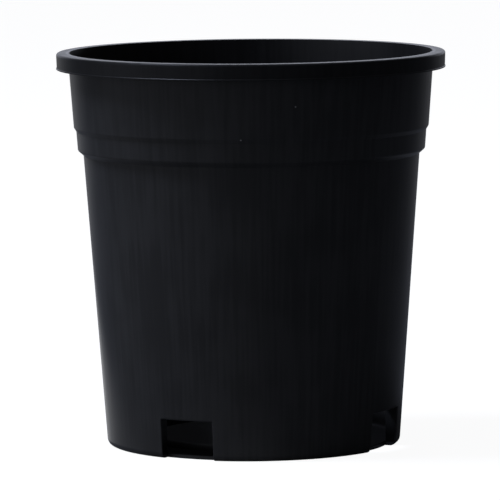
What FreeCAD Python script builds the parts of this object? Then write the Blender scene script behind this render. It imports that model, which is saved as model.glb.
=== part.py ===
# A soft black plant pot, moulded in one piece from thin flexible plastic.
# One thin skin runs from the raised panel in the floor, up a straight tapered wall, out over
# two steps, and ends in a flat rim with a skirt turned down outside it. A solid foot ring
# under the edge of the floor carries the pot. Four drain slots wrap from the foot of the wall
# into the floor, each with cheeks and a roof that lead inwards.
#
# The axis is Z, z = 0 is the plane that the pot stands on, and the slots face -Y, +X, +Y, -X.
# All lengths are millimetres.
import FreeCAD, Part
import math
import os

# Overall
height = 172.0
rim_radius = 85.0
wall = 0.7
draft = math.radians(4.2)

# Rim: flat top, skirt outside, open underneath
rim_width = 5.7
rim_thickness = 0.8
rim_edge = 1.0
skirt_thickness = 0.8
skirt_depth = 7.0
skirt_draft = math.radians(1.8)

# Steps in the wall, measured down from the rim top to the upper edge of each
upper_step_drop = 32.5
upper_step_fall = 1.8
upper_step_width = 1.05
lower_step_drop = 42.5
lower_step_fall = 2.15
lower_step_width = 2.45

# Floor, measured inwards from the wall's outer face carried down to z = 0
floor = 1.2
foot_edge = 2.0
foot_ring_width = 7.0
foot_ring_height = 0.6
panel_inset = 21.0
panel_rise = 2.4
panel_slope = 3.2
gate_radius = 2.2
gate_height = 0.5

# Drain slots
slot_count = 4
slot_width = 24.5
slot_height = 17.2
slot_inset = 4.8
slot_corner = 0.5
sleeve_wall = 0.7
cheek_setback = 0.3

# Radii of the wall's outer face, worked down from the rim
lean = math.tan(draft)
upper_step_top = height - upper_step_drop
upper_step_foot = upper_step_top - upper_step_fall
lower_step_top = height - lower_step_drop
lower_step_foot = lower_step_top - lower_step_fall
rim_underside = height - rim_thickness
top_radius = rim_radius - rim_width + wall
neck_radius = top_radius - rim_thickness * lean
upper_band_radius = top_radius - upper_step_drop * lean
middle_band_top_radius = upper_band_radius - upper_step_width
middle_band_foot_radius = middle_band_top_radius - (upper_step_foot - lower_step_top) * lean
body_top_radius = middle_band_foot_radius - lower_step_width
foot_radius = body_top_radius - lower_step_foot * lean

# Places in the floor
panel_radius = foot_radius - panel_inset
foot_ring_radius = foot_radius - foot_ring_width
slot_reach_radius = foot_radius - slot_inset
panel_underside = foot_ring_height + panel_rise

axis_base = FreeCAD.Vector(0, 0, 0)
axis_up = FreeCAD.Vector(0, 0, 1)
radially_out = FreeCAD.Vector(1, 0, 0)


def floor_corners():
    """Corners of the floor's underside from the axis outwards, above the foot ring.

    Each corner is its radius and height, and the thickness of the run that follows it."""
    return [
        (0, panel_underside, floor),
        (panel_radius, panel_underside, floor),
        (panel_radius + panel_slope, foot_ring_height, floor),
    ]


def foot_ring_corners():
    """Corners of the foot ring under the floor, out to the foot of the wall."""
    return [
        (foot_ring_radius - foot_ring_height, foot_ring_height, 0),
        (foot_ring_radius, 0, 0),
        (foot_radius, 0, 0),
    ]


def wall_corners():
    """Corners of the outer side of wall, steps, rim and skirt, each as in the floor."""
    skirt_top_radius = rim_radius - skirt_thickness
    skirt_tip_radius = skirt_top_radius - (skirt_depth - rim_thickness) * math.tan(skirt_draft)
    return [
        (foot_radius + foot_ring_height * lean, foot_ring_height, wall),
        (body_top_radius, lower_step_foot, wall),
        (middle_band_foot_radius, lower_step_top, wall),
        (middle_band_top_radius, upper_step_foot, wall),
        (upper_band_radius, upper_step_top, wall),
        (neck_radius, rim_underside, rim_thickness),
        (skirt_top_radius, rim_underside, skirt_thickness),
        (skirt_tip_radius, height - skirt_depth, 0),
    ]


def meeting_point(point_a, along_a, point_b, along_b):
    """Where two straight lines in the section plane cross."""
    gap = point_b - point_a
    turn = along_a.x * along_b.z - along_a.z * along_b.x
    step = (gap.x * along_b.z - gap.z * along_b.x) / turn
    return point_a + along_a * step


def near_side(corners):
    """Points of the under and outer side of the skin."""
    return [FreeCAD.Vector(r, 0, z) for r, z, thickness in corners]


def far_side():
    """Points of the side that faces into the pot and over the rim."""
    corners = floor_corners() + wall_corners()
    points = near_side(corners)
    lines = [(points[0], axis_up)]
    for here, following, corner in zip(points, points[1:], corners):
        along = (following - here).normalize()
        across = FreeCAD.Vector(-along.z, 0, along.x)
        lines.append((here + across * corner[2], along))
    lines.append((points[-1], radially_out))
    return [meeting_point(*before, *after) for before, after in zip(lines, lines[1:])]


def turned(outline):
    """The solid swept by an outline round the axis, with its seam between two slots."""
    solid = Part.Face(Part.makePolygon(outline + outline[:1])).revolve(axis_base, axis_up, 360)
    solid.rotate(axis_base, axis_up, 180 / slot_count)
    return solid


def round_ring(solid, corner, radius):
    """The solid with its edge through one corner of the section rounded, all the way round."""
    def is_ring(edge):
        box = edge.BoundBox
        return abs(box.XMax - corner.x) < wall / 10 and abs(box.ZMax - corner.z) < wall / 10
    return solid.makeFillet(radius, [edge for edge in solid.Edges if is_ring(edge)])


def outer_form():
    """The pot filled to the brim, with its foot ring, steps, rim and skirt."""
    corners = floor_corners() + foot_ring_corners() + wall_corners()[1:]
    skirt_corner, skirt_tip = far_side()[-2:]
    form = turned(near_side(corners) + [skirt_tip, skirt_corner, FreeCAD.Vector(0, 0, height)])
    form = round_ring(form, FreeCAD.Vector(foot_radius, 0, 0), foot_edge)
    return round_ring(form, skirt_corner, rim_edge)


def hollow_form():
    """The space inside the pot, carried on past the brim."""
    inside = far_side()[:-2]
    past_brim = inside.pop() + FreeCAD.Vector(lean, 0, 1)
    return turned(inside + [past_brim, FreeCAD.Vector(0, 0, past_brim.z)])


def slot_block(width, foot, top, corner, inner_radius):
    """A block on the -Y side, from an inner radius out past the wall, rounded on top."""
    depth = rim_radius
    block = Part.makeBox(width, depth, top - foot, FreeCAD.Vector(-width / 2, -depth, foot))
    top_sides = [edge for edge in block.Edges
                 if edge.BoundBox.ZMin > top - corner and edge.BoundBox.XLength < corner]
    block = block.makeFillet(corner, top_sides)
    return block.cut(Part.makeCylinder(inner_radius, top - foot, FreeCAD.Vector(0, 0, foot)))


def around(shape):
    """One copy of a shape at each slot."""
    copies = []
    for i in range(slot_count):
        copy = shape.copy()
        copy.rotate(axis_base, axis_up, i * 360 / slot_count)
        copies.append(copy)
    return copies


def slot_openings():
    """What is cut away at the slots, through wall, foot and floor."""
    return around(slot_block(slot_width, -floor, slot_height, slot_corner, slot_reach_radius))


def slot_sleeves():
    """What stays solid round the slots, in the hollow: two cheeks and a roof at each."""
    return around(slot_block(slot_width + 2 * sleeve_wall, 0, slot_height + sleeve_wall,
                             slot_corner + sleeve_wall, slot_reach_radius + cheek_setback))


def gate_mark():
    """The small button left under the floor where the plastic was fed in."""
    return Part.makeCylinder(gate_radius, gate_height + floor / 2,
                             FreeCAD.Vector(0, 0, panel_underside - gate_height))


def build_pot():
    shell = outer_form().cut(slot_openings()).cut(hollow_form().cut(slot_sleeves()))
    return shell.fuse(gate_mark()).removeSplitter()


pot = build_pot()
print("solids", len(pot.Solids), "valid", pot.isValid(), "volume", round(pot.Volume, 1))
print("foot radius", round(foot_radius, 2), "box", pot.optimalBoundingBox(False))
os.makedirs("parts", exist_ok=True)
pot.Solids[0].exportStep("parts/pot.step")
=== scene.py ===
# A soft black plant pot, moulded in one piece: thin floor with a raised panel, solid foot ring,
# tapered wall with two steps, a flat rim with a turned-down skirt, and four drain slots with
# cheeks and a roof that lead inwards.
#
# The axis is Z, z = 0 is the plane that the pot stands on, and the slots face -Y, +X, +Y, -X.
# All lengths are metres.
import math

import bmesh
import bpy
from mathutils import Matrix, Vector


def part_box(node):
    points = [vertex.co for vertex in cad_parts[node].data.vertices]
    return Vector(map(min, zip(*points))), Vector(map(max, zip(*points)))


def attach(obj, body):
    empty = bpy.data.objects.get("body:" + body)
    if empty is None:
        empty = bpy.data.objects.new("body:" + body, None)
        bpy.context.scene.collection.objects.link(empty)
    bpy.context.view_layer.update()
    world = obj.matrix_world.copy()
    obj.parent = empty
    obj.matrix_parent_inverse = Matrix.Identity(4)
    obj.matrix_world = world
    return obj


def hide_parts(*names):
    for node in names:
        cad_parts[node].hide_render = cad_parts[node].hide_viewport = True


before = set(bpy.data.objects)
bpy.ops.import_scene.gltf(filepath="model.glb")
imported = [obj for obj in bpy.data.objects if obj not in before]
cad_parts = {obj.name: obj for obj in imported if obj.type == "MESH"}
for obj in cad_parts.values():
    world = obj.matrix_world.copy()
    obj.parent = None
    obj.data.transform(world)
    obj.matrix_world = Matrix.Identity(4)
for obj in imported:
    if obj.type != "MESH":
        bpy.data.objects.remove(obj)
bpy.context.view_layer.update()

mm = 0.001
axis_up = Vector((0, 0, 1))
radially_out = Vector((1, 0, 0))
pot_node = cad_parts["pot"]

# Sizes that the frame gives
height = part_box("pot")[1].z
rim_radius = max(math.hypot(vert.co.x, vert.co.y) for vert in pot_node.data.vertices)

# The skin
wall = 0.7 * mm
floor_thickness = 1.2 * mm
draft = math.radians(4.2)

# Rim: flat top, skirt outside, open underneath
rim_width = 5.7 * mm
rim_thickness = 0.8 * mm
skirt_thickness = 0.8 * mm
skirt_depth = 7.0 * mm
skirt_draft = math.radians(1.8)
rim_inner_edge = 0.4 * mm
rim_outer_edge = 1.0 * mm
rim_under_edge = 0.4 * mm
skirt_tip_edge = 0.3 * mm
bead_width = 0.25 * mm
bead_height = 0.45 * mm
bead_edge = 0.12 * mm

# Steps, measured down from the rim top
upper_step_drop = 32.5 * mm
upper_step_fall = 1.8 * mm
upper_step_width = 1.05 * mm
lower_step_drop = 42.5 * mm
lower_step_fall = 2.15 * mm
lower_step_width = 2.45 * mm
step_bend = 0.4 * mm

# Floor
foot_corner = 2.5 * mm
foot_ring_width = 7.0 * mm
foot_ring_height = 0.6 * mm
foot_ring_edge = 0.25 * mm
panel_inset = 21.0 * mm
panel_rise = 2.4 * mm
panel_slope = 3.2 * mm
panel_bend = 0.8 * mm
gate_radius = 2.2 * mm
gate_height = 0.5 * mm
gate_edge = 0.2 * mm

# Drain slots
slot_count = 4
slot_width = 24.5 * mm
slot_height = 17.2 * mm
slot_inset = 4.8 * mm
slot_corner = 0.5 * mm
slot_mouth_edge = 0.6 * mm
sleeve_wall = 0.7 * mm
cheek_setback = 0.3 * mm

# Surface. The noise scales are per metre, or per radian round the axis for the streaks. Here
# and below, a pair says where a change starts and ends, or what it changes from and to.
plastic_colour = (0.023, 0.0234, 0.024)
plastic_specular = 0.08
roughness = 0.3
streak_scale = 40.0
streak_length = 0.6
streak_detail = 1.0
streak_depth = 0.001 * mm
streak_range = (0.3, 0.7)
streak_roughness = 0.02
grain_scale = 2500.0
grain_detail = 1.0
grain_depth = 0.004 * mm
cloud_scale = 40.0
cloud_detail = 2.0
mottle_range = (0.75, 1.25)
mottle_shades = (0.86, 1.14)
bump_distance = 1.0

# Painted shade that darkens the rim and the inside, which are also rougher; a painted shade film
# and painted light inside; and the painted glints of two pits on the wall
# Painted shade: this factor darkens the colour of the rim and the inside, standing in for their
# shade; they are also made a little rougher
painted_shade_rim_inside = 0.45
dull_roughness = 0.04
shade_and_dull_foot = 20 * mm
shade_and_dull_top = 40 * mm
# Painted shade: a near-black, matt film in the floor's trough and low on the inner wall, where the
# inside of the pot lies in shade
painted_shade_colour = (0.0012, 0.0011, 0.001, 1)
shade_film_roughness = 0.3
shade_film_foot = 4 * mm
shade_film_top = 13 * mm
# Painted light: a paler colour on the floor's raised panel, seen through the slots
painted_light_colour = (0.06, 0.06, 0.06, 1)
# Painted highlights: two pale dots that stand in for the glints of two small pits in the wall
painted_glints = ((31.0, -71.0, 139.4), (51.3, -59.6, 153.3))
glint_radius = 0.5 * mm
glint_colour = (0.25, 0.25, 0.25, 1)

# Camera, as the photo was taken
photo_size = 500
focal_pixels = 5287.0
sensor = 36.0
camera_distance = 2.306
camera_height = 0.3265
camera_azimuth = math.radians(26.9)
camera_pitch = 0.1045
camera_roll = -0.0083
camera_yaw = 0.00044

# World: white behind the pot, dim in front and overhead, a window and its pane on the left.
# Its pairs say how far a direction of length 1 reaches, behind the pot or up.
world_tint = (0.94, 0.98, 1.12, 1)
world_front = 0.05
world_top = 0.3
behind_range = (0.7, 0.95)
overhead_range = (0.3, 1.0)
window_turn = math.radians(64)
window_edge = math.radians(42)
window_blur = math.radians(15)
window_rise = (0.3, 0.7)
window_glow = 0.45
pane_edge = math.radians(29)
pane_blur = math.radians(5)
pane_rise = (0.15, 0.3)
pane_glow = 1.1

# Lamp, turned round the pot from the camera's side to the left
lamp_turn = math.radians(85)
lamp_distance = 1.0
lamp_rise = 1.85
lamp_side = 0.7
lamp_radiance = 20.8
lamp_tint = (0.9, 0.98, 1.24)

# Ground. The plastic mirrors it as a bright strip behind the pot, whose pairs are metres
# across the view, and as a dim fringe beside the strip, whose bearing is across over back.
ground_reach = 6
floor_pale = 0.17
floor_roughness = 0.9
floor_glow = 0.93
floor_flat = 0.15
floor_steep = 0.2
distant_range = (0.3, 1.0)
strip_left = (-0.25, -0.111)
strip_middle = (0.05, 0.0)
strip_right = (0.111, 0.19)
fringe_bearing = (1.2, 0.5)
fringe_side = (-0.1, 0.1)
fringe_left = 0.3
fringe_right = 0.1
window_reach = (0.09, 0.2)
floor_window_glow = 0.15

# Fineness of the mesh, and what counts as long, as one point and as sharp
ring_steps = 144
slot_arc_steps = 10
arc_segments = 5
edge_segments = 3
support_gap = 0.5 * mm
long_run = 4 * support_gap
weld_gap = 0.01 * mm
sharp_angle = math.radians(30)

# Radii of the wall's outer face, worked down from the rim
lean = math.tan(draft)
upper_step_top = height - upper_step_drop
upper_step_foot = upper_step_top - upper_step_fall
lower_step_top = height - lower_step_drop
lower_step_foot = lower_step_top - lower_step_fall
rim_underside = height - rim_thickness
top_radius = rim_radius - rim_width + wall
neck_radius = top_radius - rim_thickness * lean
upper_band_radius = top_radius - upper_step_drop * lean
middle_band_top_radius = upper_band_radius - upper_step_width
middle_band_foot_radius = middle_band_top_radius - (upper_step_foot - lower_step_top) * lean
body_top_radius = middle_band_foot_radius - lower_step_width
foot_radius = body_top_radius - lower_step_foot * lean

# Places in the floor and at the slots
panel_radius = foot_radius - panel_inset
panel_foot_radius = panel_radius + panel_slope
foot_ring_radius = foot_radius - foot_ring_width
slot_reach_radius = foot_radius - slot_inset
panel_underside = foot_ring_height + panel_rise
floor_top = foot_ring_height + floor_thickness
# Heights where the painted shade film and the painted light on the panel start
shade_film_start = (floor_top - 0.5 * mm, floor_top - 0.1 * mm)
painted_light_start = (floor_top + 1.8 * mm, floor_top + 2.2 * mm)
over_slots = slot_height + sleeve_wall + support_gap

# Level directions as the camera looks, and how far its view widens to each side per metre
view_forward = Vector((-math.sin(camera_azimuth), math.cos(camera_azimuth), 0))
view_right = Vector((math.cos(camera_azimuth), math.sin(camera_azimuth), 0))
view_spread = photo_size / 2 / focal_pixels


def floor_corners():
    """Corners of the floor's underside from the axis outwards, above the foot ring.

    Each is a radius, a height, the roundings on this side and on the far side, and the
    thickness of the run that follows."""
    panel_back = panel_bend + floor_thickness
    return [
        (0, panel_underside, 0, 0, floor_thickness),
        (panel_radius, panel_underside, panel_bend, panel_back, floor_thickness),
        (panel_foot_radius, foot_ring_height, panel_back, panel_bend, floor_thickness),
    ]


def foot_ring_corners():
    """Corners of the foot ring under the floor, out to the foot of the wall."""
    return [
        (foot_ring_radius - foot_ring_height, foot_ring_height, foot_ring_edge, 0, 0),
        (foot_ring_radius, 0, foot_ring_edge, 0, 0),
        (foot_radius, 0, foot_corner, 0, 0),
    ]


def wall_corners():
    """Corners of the outer side of wall, steps, rim and skirt, each as in the floor."""
    skirt_top_radius = rim_radius - skirt_thickness
    skirt_tip_radius = skirt_top_radius - (skirt_depth - rim_thickness) * math.tan(skirt_draft)
    step_back = step_bend + wall
    return [
        (foot_radius + foot_ring_height * lean, foot_ring_height, 0, foot_corner - wall, wall),
        (body_top_radius, lower_step_foot, step_bend, step_back, wall),
        (middle_band_foot_radius, lower_step_top, step_back, step_bend, wall),
        (middle_band_top_radius, upper_step_foot, step_bend, step_back, wall),
        (upper_band_radius, upper_step_top, step_back, step_bend, wall),
        (neck_radius, rim_underside, rim_under_edge, rim_inner_edge, rim_thickness),
        (skirt_top_radius, rim_underside, rim_under_edge, rim_outer_edge, skirt_thickness),
        (skirt_tip_radius, height - skirt_depth, skirt_tip_edge, 0, 0),
    ]


def meeting_point(point_a, along_a, point_b, along_b):
    """Where two straight lines in the section plane cross."""
    gap = point_b - point_a
    turn = along_a.x * along_b.z - along_a.z * along_b.x
    return point_a + along_a * ((gap.x * along_b.z - gap.z * along_b.x) / turn)


def near_side(corners):
    """Corners and roundings of the under and outer side."""
    return [(Vector((r, 0, z)), near) for r, z, near, far, thickness in corners]


def far_side():
    """Corners and roundings of the side that faces into the pot and over the rim."""
    corners = floor_corners() + wall_corners()
    points = [point for point, rounding in near_side(corners)]
    lines = [(points[0], axis_up)]
    for here, following, (r, z, near, far, thickness) in zip(points, points[1:], corners):
        onward = (following - here).normalized()
        across = Vector((-onward.z, 0, onward.x))
        lines.append((here + across * thickness, onward))
    lines.append((points[-1], radially_out))
    return [(meeting_point(*before, *after), far)
            for before, after, (r, z, near, far, thickness) in zip(lines, lines[1:], corners)]


def round_corner(bm, vert, radius):
    """Turns one corner of a wire outline into a tangent arc."""
    before, after = [edge.other_vert(vert).co for edge in vert.link_edges]
    half = (before - vert.co).angle(after - vert.co) / 2
    bmesh.ops.bevel(bm, geom=[vert], offset=radius / math.tan(half), offset_type='OFFSET',
                    segments=arc_segments, profile=0.5, affect='VERTICES', material=-1)


def add_support_rings(bm):
    """Splits each long run of an outline close to its two ends, so that its shading stays flat."""
    for run in [edge for edge in bm.edges if edge.calc_length() > long_run]:
        start, end = run.verts
        rest = bmesh.utils.edge_split(run, start, support_gap / run.calc_length())[0]
        if end not in rest.verts:
            rest = run
        bmesh.utils.edge_split(rest, end, support_gap / rest.calc_length())


def turned(corners):
    """A closed form swept by a rounded outline round the axis."""
    bm = bmesh.new()
    verts = [bm.verts.new(point) for point, rounding in corners]
    for pair in zip(verts, verts[1:]):
        bm.edges.new(pair)
    for vert, (point, rounding) in zip(verts, corners):
        if rounding > 0:
            round_corner(bm, vert, rounding)
    add_support_rings(bm)
    bmesh.ops.spin(bm, geom=bm.verts[:] + bm.edges[:], cent=(0, 0, 0), axis=(0, 0, 1),
                   dvec=(0, 0, 0), angle=math.tau, steps=ring_steps, use_merge=True,
                   use_duplicate=False)
    bmesh.ops.remove_doubles(bm, verts=bm.verts, dist=weld_gap)
    bmesh.ops.bisect_plane(bm, geom=bm.verts[:] + bm.edges[:] + bm.faces[:],
                           plane_co=(0, 0, over_slots), plane_no=(0, 0, 1))
    bmesh.ops.recalc_face_normals(bm, faces=bm.faces)
    return bm


def outer_form():
    """The pot filled to the brim, with its foot ring, steps, rim and skirt."""
    gate_mark = [(Vector((0, 0, panel_underside - gate_height)), 0),
                 (Vector((gate_radius, 0, panel_underside - gate_height)), gate_edge),
                 (Vector((gate_radius, 0, panel_underside)), gate_edge)]
    corners = floor_corners()[1:] + foot_ring_corners() + wall_corners()[1:]
    skirt_corner, (skirt_tip, rounding) = far_side()[-2:]
    bead = [(skirt_tip + Vector((bead_width, 0, 0)), bead_edge),
            (skirt_tip + Vector((bead_width, 0, bead_height)), bead_edge),
            (skirt_tip + Vector((0, 0, bead_height + bead_width)), bead_edge)]
    brim_middle = (Vector((0, 0, height)), 0)
    return turned(gate_mark + near_side(corners) + bead + [skirt_corner, brim_middle])


def hollow_form():
    """The space inside the pot, carried on past the brim."""
    inside = far_side()[:-2]
    brim = inside[-1][0]
    past_brim = brim + Vector((lean, 0, 1)) * wall
    inside[-1] = (brim, 0)
    return turned(inside + [(past_brim, 0), (Vector((0, 0, past_brim.z)), 0)])


def only_verts(items):
    """The vertices among what an operator gives back."""
    return [item for item in items if isinstance(item, bmesh.types.BMVert)]


def slot_block(width, foot, top, corner, inner_radius):
    """A block on the -Y side from an inner arc out past the wall, with its top edges rounded."""
    bm = bmesh.new()
    half_turn = math.asin(width / 2 / inner_radius)
    start = bm.verts.new((-width / 2, -inner_radius * math.cos(half_turn), foot))
    bmesh.ops.spin(bm, geom=[start], cent=(0, 0, 0), axis=(0, 0, 1), dvec=(0, 0, 0),
                   angle=2 * half_turn, steps=slot_arc_steps, use_merge=False, use_duplicate=False)
    wide = bmesh.ops.extrude_edge_only(bm, edges=bm.edges[:])["geom"]
    for vert in only_verts(wide):
        vert.co.y = -rim_radius
    up = bmesh.ops.extrude_face_region(bm, geom=bm.faces[:])["geom"]
    bmesh.ops.translate(bm, vec=(0, 0, top - foot), verts=only_verts(up))
    bmesh.ops.recalc_face_normals(bm, faces=bm.faces)
    top_sides = [edge for edge in bm.edges
                 if all(vert.co.z > top - weld_gap and abs(abs(vert.co.x) - width / 2) < weld_gap
                        for vert in edge.verts)]
    bmesh.ops.bevel(bm, geom=top_sides, offset=corner, offset_type='OFFSET',
                    segments=arc_segments, profile=0.5, affect='EDGES', material=-1)
    return bm


def around(bm):
    """The same form at each of the slots."""
    one = bm.verts[:] + bm.edges[:] + bm.faces[:]
    for i in range(1, slot_count):
        copy = bmesh.ops.duplicate(bm, geom=one)["geom"]
        bmesh.ops.rotate(bm, cent=(0, 0, 0), verts=only_verts(copy),
                         matrix=Matrix.Rotation(math.tau * i / slot_count, 3, 'Z'))
    return bm


def as_object(bm, name):
    """A Blender object that holds this mesh."""
    mesh = bpy.data.meshes.new(name)
    bm.to_mesh(mesh)
    bm.free()
    piece = bpy.data.objects.new(name, mesh)
    bpy.context.scene.collection.objects.link(piece)
    return piece


def less(bm, cutter):
    """What stays of one closed form when another is cut from it."""
    body = as_object(bm, "body")
    tool = as_object(cutter, "tool")
    cut = body.modifiers.new("cut", 'BOOLEAN')
    cut.operation = 'DIFFERENCE'
    cut.solver = 'EXACT'
    cut.object = tool
    left = bmesh.new()
    left.from_object(body, bpy.context.evaluated_depsgraph_get())
    for item in (body, tool):
        mesh = item.data
        bpy.data.objects.remove(item)
        bpy.data.meshes.remove(mesh)
    bmesh.ops.remove_doubles(left, verts=left.verts, dist=weld_gap)
    return left


def is_mouth(edge):
    """True for an edge where a slot breaks the wall's outer face."""
    sharp = edge.is_manifold and edge.calc_face_angle() > sharp_angle
    middle = (edge.verts[0].co + edge.verts[1].co) / 2
    face_radius = foot_radius + middle.z * lean
    to_face = abs(math.hypot(middle.x, middle.y) - face_radius)
    return sharp and middle.z < slot_height + wall and to_face < wall / 2


def build_pot():
    """The whole moulding."""
    openings = around(slot_block(slot_width, -foot_corner, slot_height, slot_corner,
                                 slot_reach_radius))
    form = less(outer_form(), openings)
    mouth = [edge for edge in form.edges if is_mouth(edge)]
    bmesh.ops.bevel(form, geom=mouth, offset=slot_mouth_edge, offset_type='OFFSET',
                    segments=edge_segments, profile=0.5, affect='EDGES', material=-1)
    sleeves = around(slot_block(slot_width + 2 * sleeve_wall, 0, slot_height + sleeve_wall,
                                slot_corner + sleeve_wall, slot_reach_radius + cheek_setback))
    skin = less(form, less(hollow_form(), sleeves))
    piece = as_object(skin, "plant_pot")
    piece.data.shade_smooth()
    piece.data.set_sharp_from_angle(angle=sharp_angle)
    piece.modifiers.new("flat_shading", 'WEIGHTED_NORMAL').keep_sharp = True
    return piece


def add_node(tree, kind, **settings):
    """A node with its settings; an input is set from a value or linked from a socket."""
    node = tree.nodes.new(kind)
    links = settings.pop("links", {})
    for name, value in settings.items():
        setattr(node, name, value)
    for key, value in links.items():
        if isinstance(value, bpy.types.NodeSocket):
            tree.links.new(value, node.inputs[key])
        else:
            node.inputs[key].default_value = value
    return node


def combine_vectors(tree, operation, *inputs, result="Vector"):
    """What an operation makes of one vector or more: a vector, or its result "Value"."""
    return add_node(tree, "ShaderNodeVectorMath", operation=operation,
                    links=dict(enumerate(inputs))).outputs[result]


def along(tree, position, direction):
    """How far a position reaches along a direction."""
    return combine_vectors(tree, 'DOT_PRODUCT', position, direction, result="Value")


def level_part(tree, vector):
    """The part of a vector that lies level."""
    return combine_vectors(tree, 'MULTIPLY', vector, (1, 1, 0))


def combine(tree, operation, a, b):
    """A number worked out from two others."""
    return add_node(tree, "ShaderNodeMath", operation=operation, links={0: a, 1: b}).outputs[0]


def ramp(tree, value, start, end, low=0.0, high=1.0):
    """A smooth rise from low to high while the value goes from start to end."""
    return add_node(tree, "ShaderNodeMapRange", interpolation_type='SMOOTHSTEP',
                    links={"Value": value, "From Min": start, "From Max": end,
                           "To Min": low, "To Max": high}).outputs["Result"]


def noise(tree, position, scale, detail):
    """A soft random pattern between 0 and 1."""
    return add_node(tree, "ShaderNodeTexNoise",
                    links={"Vector": position, "Scale": scale, "Detail": detail}).outputs["Fac"]


def laid_over(tree, cover, under, over):
    """A colour with another one over it where the cover is 1."""
    return add_node(tree, "ShaderNodeMix", data_type='RGBA',
                    links={0: cover, 6: under, 7: over}).outputs[2]


def moulded_surface():
    """What sets the surface of the moulding apart from a flat colour.

    Fine grain, faint streaks drawn down the wall where the tool slid off, painted shade that
    darkens the rim and inside, which are also rougher, painted light that makes the floor's panel
    paler, a dark matt film of painted shade in the trough round it and low on the inner wall, and
    two pale dots painted as the glints of small pits."""
    group = bpy.data.node_groups.new("moulded_surface", 'ShaderNodeTree')
    for name, kind in (("Base Color", 'NodeSocketColor'), ("Roughness", 'NodeSocketFloat'),
                       ("Height", 'NodeSocketFloat')):
        group.interface.new_socket(name, in_out='OUTPUT', socket_type=kind)

    place = add_node(group, "ShaderNodeTexCoord").outputs["Object"]
    from_axis = level_part(group, place)
    outwards = combine_vectors(group, 'NORMALIZE', from_axis)
    radius = combine_vectors(group, 'LENGTH', from_axis, result="Value")
    rise = along(group, place, axis_up)
    down_wall = combine_vectors(group, 'MULTIPLY_ADD', place, (0, 0, streak_length), outwards)
    streaks = noise(group, down_wall, streak_scale, streak_detail)
    grain = noise(group, place, grain_scale, grain_detail)
    clouds = noise(group, place, cloud_scale, cloud_detail)

    # How far a place lies inside the wall's outer face
    face = combine(group, 'ADD', combine(group, 'MULTIPLY', rise, lean), foot_radius)
    for foot, top, width in ((lower_step_foot, lower_step_top, lower_step_width),
                             (upper_step_foot, upper_step_top, upper_step_width)):
        face = combine(group, 'ADD', face, ramp(group, rise, foot, top, 0.0, width))
    depth = combine(group, 'SUBTRACT', face, radius)

    # Where the plastic is rougher and painted shade darkens it, and where the painted light and
    # the painted shade film lie
    inside = ramp(group, depth, wall / 2, wall)
    off_face = ramp(group, combine(group, 'ABSOLUTE', depth, 0.0), wall / 2, wall)
    # Painted shade on the rim and the inside, which also makes them rougher
    shade_and_dull = combine(group, 'MULTIPLY', off_face, ramp(group, rise, shade_and_dull_foot, shade_and_dull_top))
    # Painted light on the floor's raised panel
    painted_light_panel = combine(group, 'MULTIPLY', ramp(group, rise, *painted_light_start),
                   ramp(group, radius, panel_foot_radius, panel_radius))
    trough = ramp(group, radius, panel_radius, panel_foot_radius)
    # Painted shade film: dark and matt in the trough and low on the inner wall
    shade_film = combine(group, 'MULTIPLY', combine(group, 'MULTIPLY', inside, trough),
                   ramp(group, rise, shade_film_top, shade_film_foot))
    shade_film = combine(group, 'MULTIPLY', shade_film, ramp(group, rise, *shade_film_start))

    shade = ramp(group, combine(group, 'ADD', streaks, clouds), *mottle_range, *mottle_shades)
    # The painted shade darkens the rim and the inside
    shade = combine(group, 'MULTIPLY', shade, ramp(group, shade_and_dull, 0.0, 1.0, 1.0, painted_shade_rim_inside))
    colour = add_node(group, "ShaderNodeVectorMath", operation='SCALE',
                      links={0: plastic_colour, "Scale": shade}).outputs["Vector"]
    # Painted light on the panel, then the painted shade film over it
    colour = laid_over(group, painted_light_panel, colour, painted_light_colour)
    colour = laid_over(group, shade_film, colour, painted_shade_colour)
    # The painted glints of two small pits
    for glint in painted_glints:
        reach = combine_vectors(group, 'DISTANCE', place, Vector(glint) * mm, result="Value")
        colour = laid_over(group, ramp(group, reach, glint_radius, 0.0), colour, glint_colour)

    rough = combine(group, 'ADD', combine(group, 'MULTIPLY', shade_film, shade_film_roughness),
                    ramp(group, streaks, *streak_range, roughness - streak_roughness,
                         roughness + streak_roughness))
    rough = combine(group, 'ADD', rough, combine(group, 'MULTIPLY', shade_and_dull, dull_roughness))
    height_map = combine(group, 'ADD', combine(group, 'MULTIPLY', streaks, streak_depth),
                         combine(group, 'MULTIPLY', grain, grain_depth))
    out = group.nodes.new("NodeGroupOutput")
    group.links.new(colour, out.inputs["Base Color"])
    group.links.new(rough, out.inputs["Roughness"])
    group.links.new(height_map, out.inputs["Height"])
    return group


def black_plastic():
    """Black satin polypropylene."""
    material = bpy.data.materials.new("black_satin_plastic")
    material.use_nodes = True
    tree = material.node_tree
    shader = tree.nodes["Principled BSDF"]
    shader.inputs["Specular IOR Level"].default_value = plastic_specular
    surface = tree.nodes.new("ShaderNodeGroup")
    surface.node_tree = moulded_surface()
    tree.links.new(surface.outputs["Base Color"], shader.inputs["Base Color"])
    tree.links.new(surface.outputs["Roughness"], shader.inputs["Roughness"])
    bump = add_node(tree, "ShaderNodeBump",
                    links={"Height": surface.outputs["Height"], "Distance": bump_distance})
    tree.links.new(bump.outputs["Normal"], shader.inputs["Normal"])
    return material


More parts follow.
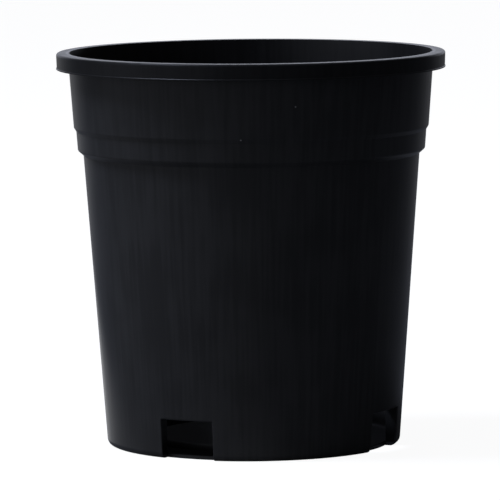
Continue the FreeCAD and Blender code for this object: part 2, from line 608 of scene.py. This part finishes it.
def place_camera():
    """The camera, where the photo's was."""
    data = bpy.data.cameras.new("camera")
    data.sensor_width = sensor
    data.lens = focal_pixels * sensor / photo_size
    camera = bpy.data.objects.new("camera", data)
    bpy.context.scene.collection.objects.link(camera)
    place = Vector((camera_distance * math.sin(camera_azimuth),
                    -camera_distance * math.cos(camera_azimuth), camera_height))
    camera.matrix_world = (Matrix.Translation(place)
                           @ Matrix.Rotation(camera_azimuth + camera_yaw, 4, 'Z')
                           @ Matrix.Rotation(math.pi / 2 - camera_pitch, 4, 'X')
                           @ Matrix.Rotation(camera_roll, 4, 'Z'))
    bpy.context.scene.camera = camera


def to_the_left(turn):
    """The level direction from the pot that is turned from the camera's side to the left."""
    around_axis = camera_azimuth - turn
    return Vector((math.sin(around_axis), -math.cos(around_axis), 0))


def toward_window(tree, vector, edge, blur):
    """1 where a direction, or a place on the floor, lies towards the window on the left."""
    unit = combine_vectors(tree, 'NORMALIZE', level_part(tree, vector))
    return ramp(tree, along(tree, unit, to_the_left(window_turn)), math.cos(edge + blur),
                math.cos(edge - blur))


def studio_world():
    """White behind the pot, dim in front and overhead, with a window low on the left."""
    world = bpy.data.worlds.new("studio")
    world.use_nodes = True
    tree = world.node_tree
    direction = add_node(tree, "ShaderNodeTexCoord").outputs["Generated"]
    up = along(tree, direction, axis_up)
    behind = ramp(tree, along(tree, direction, view_forward), *behind_range, world_front, 1.0)
    overhead = ramp(tree, up, *overhead_range, 0.0, world_top)
    window = combine(tree, 'MULTIPLY', toward_window(tree, direction, window_edge, window_blur),
                     ramp(tree, up, *window_rise, window_glow, 0.0))
    pane = combine(tree, 'MULTIPLY', toward_window(tree, direction, pane_edge, pane_blur),
                   ramp(tree, up, *pane_rise, pane_glow, 0.0))
    strength = combine(tree, 'MAXIMUM', combine(tree, 'MAXIMUM', behind, overhead),
                       combine(tree, 'ADD', window, pane))
    background = tree.nodes["Background"]
    tree.links.new(strength, background.inputs["Strength"])
    background.inputs["Color"].default_value = world_tint
    bpy.context.scene.world = world


def hang_softbox():
    """A large soft lamp, high on the left, that faces the pot."""
    data = bpy.data.lights.new("key", 'AREA')
    data.shape = 'RECTANGLE'
    data.size = lamp_side
    data.size_y = lamp_side
    data.energy = lamp_radiance * math.pi * lamp_side * lamp_side
    data.color = lamp_tint
    lamp = bpy.data.objects.new("key", data)
    bpy.context.scene.collection.objects.link(lamp)
    lamp.location = to_the_left(lamp_turn) * lamp_distance + Vector((0, 0, lamp_rise))
    to_pot = Vector((0, 0, height / 2)) - lamp.location
    lamp.rotation_euler = to_pot.to_track_quat('-Z', 'Y').to_euler()


def white_floor():
    """A pale floor, white to the camera.

    Seen at a flat angle in the plastic, it is as bright as the backdrop in a strip behind the
    pot, with a dim fringe beside it further back. A little of the window's light lies on it."""
    material = bpy.data.materials.new("white_floor")
    material.use_nodes = True
    tree = material.node_tree
    facing = add_node(tree, "ShaderNodeLayerWeight", links={"Blend": 0.5}).outputs["Facing"]
    place = add_node(tree, "ShaderNodeTexCoord").outputs["Object"]
    beyond = along(tree, place, view_forward)
    side = along(tree, place, view_right)
    spread = combine(tree, 'MULTIPLY', beyond, view_spread)
    distant = ramp(tree, beyond, *distant_range)

    # The strip and its fringe, where they are seen at a flat angle
    left = ramp(tree, combine(tree, 'ADD', side, spread), *strip_left)
    right = ramp(tree, combine(tree, 'SUBTRACT', side, spread), *strip_right, 1.0, 0.0)
    right = combine(tree, 'MULTIPLY', right,
                    combine(tree, 'MAXIMUM', distant, ramp(tree, side, *strip_middle)))
    bearing = combine(tree, 'ABSOLUTE', combine(tree, 'DIVIDE', side, beyond), 0.0)
    fringe = combine(tree, 'MULTIPLY', ramp(tree, bearing, *fringe_bearing),
                     ramp(tree, side, *fringe_side, fringe_left, fringe_right))
    strip = combine(tree, 'MAXIMUM', combine(tree, 'MULTIPLY', left, right),
                    combine(tree, 'MULTIPLY', fringe, distant))
    glow = combine(tree, 'MULTIPLY', strip,
                   ramp(tree, facing, 1 - floor_steep, 1 - floor_flat, 0.0, floor_glow))

    # The window's light on the ground, and the white that the camera sees
    reach = combine_vectors(tree, 'LENGTH', place, result="Value")
    lit = combine(tree, 'MULTIPLY', toward_window(tree, place, window_edge, window_blur),
                  ramp(tree, reach, *window_reach, 0.0, floor_window_glow))
    glow = combine(tree, 'MAXIMUM', glow, lit)
    seen = add_node(tree, "ShaderNodeLightPath").outputs["Is Camera Ray"]
    glow = combine(tree, 'MAXIMUM', glow, combine(tree, 'MULTIPLY', seen, floor_glow))
    shader = tree.nodes["Principled BSDF"]
    shader.inputs["Base Color"].default_value = (floor_pale, floor_pale, floor_pale, 1)
    shader.inputs["Roughness"].default_value = floor_roughness
    shader.inputs["Specular IOR Level"].default_value = 0.0
    shader.inputs["Emission Color"].default_value = (1, 1, 1, 1)
    tree.links.new(glow, shader.inputs["Emission Strength"])
    return material


def lay_floor():
    """The floor that the pot stands on."""
    bm = bmesh.new()
    bmesh.ops.create_grid(bm, x_segments=1, y_segments=1, size=ground_reach)
    ground = as_object(bm, "ground")
    ground.data.materials.append(white_floor())
    return ground


pot = build_pot()
pot.data.materials.append(black_plastic())
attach(pot, "root")
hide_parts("pot")

place_camera()
studio_world()
hang_softbox()
ground = lay_floor()
bpy.context.scene.view_settings.view_transform = 'Standard'
